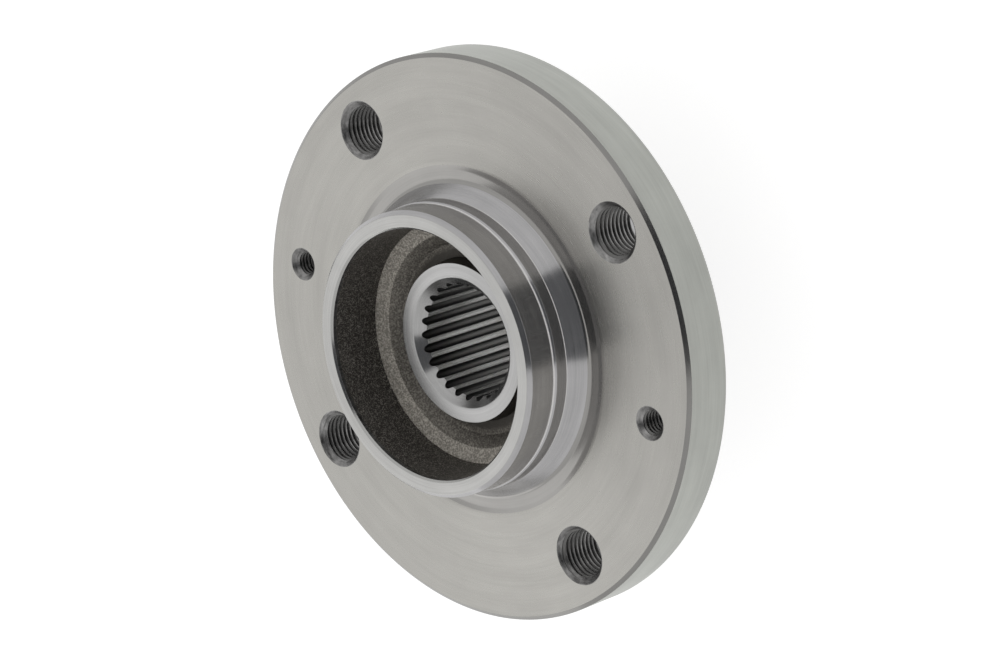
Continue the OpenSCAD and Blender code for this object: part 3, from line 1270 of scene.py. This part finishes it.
@dataclass
class BearingJournal(Region):
    """Ground seat of the bearing, with the rest of the spline and the relief bore."""

    node: str = "bearing_journal"
    slot: str = "ground_journal"
    journal_r: float = 21.0
    lead_len: float = 2.5
    lead_fall: float = 0.7
    lead_radius: float = 1.0
    end_radius: float = 0.2
    grind_w: float = 2.2
    grind_radius: float = 0.1
    relief_r: float = 14.3
    relief_len: float = 6.0
    relief_chamfer: float = 1.0
    support_gap: float = 0.4
    inside: float = 1.0
    proud: float = 1.0
    spline: Spline = field(default_factory=Spline)

    def corners(self) -> list[Corner]:
        """The journal's section, on its core."""
        at = self.at
        fall = self.journal_r - at.core_r
        support_r = self.relief_r + self.relief_chamfer + self.support_gap
        grind_z = at.shoulder_z - self.grind_w
        return [
            *sharp(Finish.BACK_FACE, (at.blank_bore_r, at.end_z), (support_r, at.end_z)),
            Corner(self.journal_r - self.lead_fall, at.end_z, Finish.GROUND, self.end_radius),
            Corner(self.journal_r, at.end_z + self.lead_len, Finish.GROUND, self.lead_radius),
            Corner(self.journal_r, grind_z, Finish.GROUND, self.grind_radius),
            Corner(at.core_r, grind_z + fall, Finish.GROUND, self.grind_radius),
            *sharp(Finish.BACK_FACE, (at.core_r, at.back_z), (at.blank_bore_r, at.back_z)),
        ]

    def cut(self, blank: bpy.types.Object) -> None:
        """Cuts the spline, and the plain relief bore with its chamfers."""
        tree = CuttingTree()
        at = self.at
        self.spline.cut(blank, at, at.end_z, at.back_z, tree)
        tip_r, top = at.spline_tip_r - self.inside, at.end_z + self.relief_len
        section = sharp(
            Finish.BACK_FACE,
            (0.0, at.end_z - self.proud),
            (self.relief_r + self.relief_chamfer + self.proud, at.end_z - self.proud),
            (self.relief_r, at.end_z + self.relief_chamfer),
            (self.relief_r, top),
            (tip_r, top + self.relief_r - tip_r),
            (0.0, top + self.relief_r - tip_r),
        )
        tree.cut_shape(blank, Finish.BACK_FACE, turned_mesh("relief_bore", section, self.spline.bore_facets))


# Camera, light and floor


def toward(azimuth: float, elevation: float) -> Vector:
    """The direction from the hub to a place in the room.

    Args:
        azimuth: The place's direction round the hub, from the side of -Y towards +X.
        elevation: Its height above the horizon, as an angle.

    Returns:
        The direction, of length 1.
    """
    a, e = math.radians(azimuth), math.radians(elevation)
    return Vector((math.sin(a) * math.cos(e), -math.cos(a) * math.cos(e), math.sin(e)))


def aside(azimuth: float) -> Vector:
    """The level direction to the right of one who looks at the hub from an azimuth."""
    a = math.radians(azimuth)
    return Vector((math.cos(a), math.sin(a), 0.0))


@dataclass(frozen=True)
class Viewpoint:
    """The photograph's camera."""

    place_mm: tuple[float, float, float] = (-135.034, -566.428, 545.639)
    azimuth: float = -13.3585
    elevation: float = 43.6433
    roll: float = -107.8811
    focal_mm: float = 128.88
    sensor_mm: float = 36.0
    clip_m: tuple[float, float] = (0.01, 50.0)

    def make(self) -> None:
        """Puts the camera in the scene."""
        roll = math.radians(self.roll)
        back, level = toward(self.azimuth, self.elevation), aside(self.azimuth)
        upright = back.cross(level)
        right = level * math.cos(roll) + upright * math.sin(roll)
        up = upright * math.cos(roll) - level * math.sin(roll)
        lens = bpy.data.cameras.new("photo_camera")
        lens.sensor_width, lens.lens = self.sensor_mm, self.focal_mm
        lens.clip_start, lens.clip_end = self.clip_m
        camera = bpy.data.objects.new("photo_camera", lens)
        turn = Matrix((right, up, back)).transposed().to_4x4()
        camera.matrix_world = Matrix.Translation(Vector(self.place_mm) * MM) @ turn
        bpy.context.scene.collection.objects.link(camera)
        bpy.context.scene.camera = camera


@dataclass(frozen=True)
class Lamp:
    """A large soft lamp that faces the hub.

    Args:
        azimuth: Its direction round the hub, from the side of -Y towards +X.
        elevation: Its height above the horizon, as an angle.
        away: Its distance, in metres.
        size: The side of its square face, in metres.
        watts: Its power.
    """

    azimuth: float
    elevation: float
    away: float
    size: float
    watts: float

    def make(self) -> None:
        """Puts the lamp in the scene."""
        direction = toward(self.azimuth, self.elevation)
        light = bpy.data.lights.new("soft_lamp", "AREA")
        light.shape, light.size, light.energy = "SQUARE", self.size, self.watts
        lamp = bpy.data.objects.new("soft_lamp", light)
        turn = direction.to_track_quat("Z", "Y").to_matrix().to_4x4()
        lamp.matrix_world = Matrix.Translation(direction * self.away) @ turn
        bpy.context.scene.collection.objects.link(lamp)


@dataclass(frozen=True)
class Studio:
    """A white sweep with a dark upright flag behind the camera, soft lamps and a pale floor."""

    seen_white: float = 1.0
    soft_white: float = 0.8
    flag_away: float = 0.78
    flag_azimuth: float = -17.0
    flag_half_deg: float = 30.5
    flag_low_deg: float = 18.0
    flag_high_deg: float = 80.0
    flag_top_half_deg: float = 40.5
    flag_flare_m: tuple[float, float] = (0.82, 1.3)
    flag_low_tone: tuple[float, float, float] = (0.165, 0.172, 0.184)
    flag_high_tone: tuple[float, float, float] = (0.11, 0.114, 0.122)
    flag_fade_m: tuple[float, float] = (0.7, 1.5)
    lamps: tuple[Lamp, ...] = (Lamp(174.0, 30.0, 1.2, 0.8, 0.88), Lamp(-156.0, 15.0, 1.2, 0.6, 0.62))
    floor_size: float = 8.0
    floor_drop_mm: float = 0.05
    floor_glow: float = 0.76
    floor_paint: float = 0.46

    def make(self) -> None:
        """Sets up the light and the floor."""
        self._world()
        self._floor()
        self._flag()
        for lamp in self.lamps:
            lamp.make()

    @staticmethod
    def _seen(board: Board) -> Value:
        """1 for rays that show the background: the camera's, a reflection's or one through glass."""
        rays = board.node("ShaderNodeLightPath")
        names = ("Is Camera Ray", "Is Glossy Ray", "Is Transmission Ray")
        camera, glossy, through = (Value(board, rays.outputs[name]) for name in names)
        return (camera + glossy + through).clamped()

    @staticmethod
    def _card(name: str, points: Sequence[Any], paint: bpy.types.Material) -> bpy.types.Object:
        """A flat card with its paint.

        Args:
            name: Its name.
            points: Its corners in order, in metres.
            paint: Its material.

        Returns:
            The card.
        """
        mesh = bpy.data.meshes.new(name)
        mesh.from_pydata(points, [], [tuple(range(len(points)))])
        mesh.materials.append(paint)
        return place(name, mesh)

    def _world(self) -> None:
        """White where it is seen, and a little less as light."""
        world = bpy.data.worlds.new("white_sweep")
        board = Board.fresh(world)
        strength = self._seen(board) * (self.seen_white - self.soft_white) + self.soft_white
        glow = board.node("ShaderNodeBackground", None, {"Color": WHITE, "Strength": strength})
        board.node("ShaderNodeOutputWorld", None, {"Surface": glow})
        bpy.context.scene.world = world

    def _floor(self) -> None:
        """A pale floor under the end of the journal, that keeps the hub's shadow."""
        paint = bpy.data.materials.new("pale_floor")
        board = Board.fresh(paint)
        matt = board.node("ShaderNodeBsdfDiffuse", None, {"Color": (self.floor_paint,) * 3 + (1.0,)})
        strength = self._seen(board) * self.floor_glow
        glow = board.node("ShaderNodeEmission", None, {"Color": WHITE, "Strength": strength})
        both = board.node("ShaderNodeAddShader", None, {0: matt, 1: glow})
        board.node("ShaderNodeOutputMaterial", None, {"Surface": both})
        half, low = self.floor_size / 2, (DATUMS.end_z - self.floor_drop_mm) * MM
        corners = [(-half, -half, low), (half, -half, low), (half, half, low), (-half, half, low)]
        self._card("floor", corners, paint)

    def _flag(self) -> None:
        """A dark upright flag behind the camera, whose reflection gives the spigot its dark bands."""
        paint = bpy.data.materials.new("dark_cloth")
        board = Board.fresh(paint)
        surface = Surface(board)
        start, end = self.flag_fade_m
        height = (surface.up * MM - start) / (end - start)
        tone = surface.mix(height, self.flag_low_tone, self.flag_high_tone)
        matt = board.node("ShaderNodeBsdfDiffuse", None, {"Color": tone})
        board.node("ShaderNodeOutputMaterial", None, {"Surface": matt})
        half, top_half, low, high = (
            self.flag_away * math.tan(math.radians(angle))
            for angle in (self.flag_half_deg, self.flag_top_half_deg, self.flag_low_deg, self.flag_high_deg)
        )
        start_flare, end_flare = self.flag_flare_m
        side_line = [(half, low), (half, start_flare), (top_half, end_flare), (top_half, high)]
        ahead, right = toward(self.flag_azimuth, 0.0), aside(self.flag_azimuth)
        corners = [
            ahead * self.flag_away + right * side + Vector((0, 0, z))
            for side, z in side_line + [(-side, z) for side, z in reversed(side_line)]
        ]
        flag = self._card("dark_flag", corners, paint)
        flag.visible_camera = flag.visible_diffuse = flag.visible_shadow = False


def main() -> None:
    """Builds the finishes, the six regions, the camera and the studio."""
    logging.basicConfig(level=logging.INFO, format="%(name)s: %(message)s")
    mix_finishes()
    for region in (WheelFlange(), WheelSpigot(), RecessWeb(), NutBoss(), BearingShoulder(), BearingJournal()):
        region.make()
    Viewpoint().make()
    Studio().make()
    bpy.context.scene.view_settings.view_transform = "Standard"


if __name__ == "__main__":
    main()
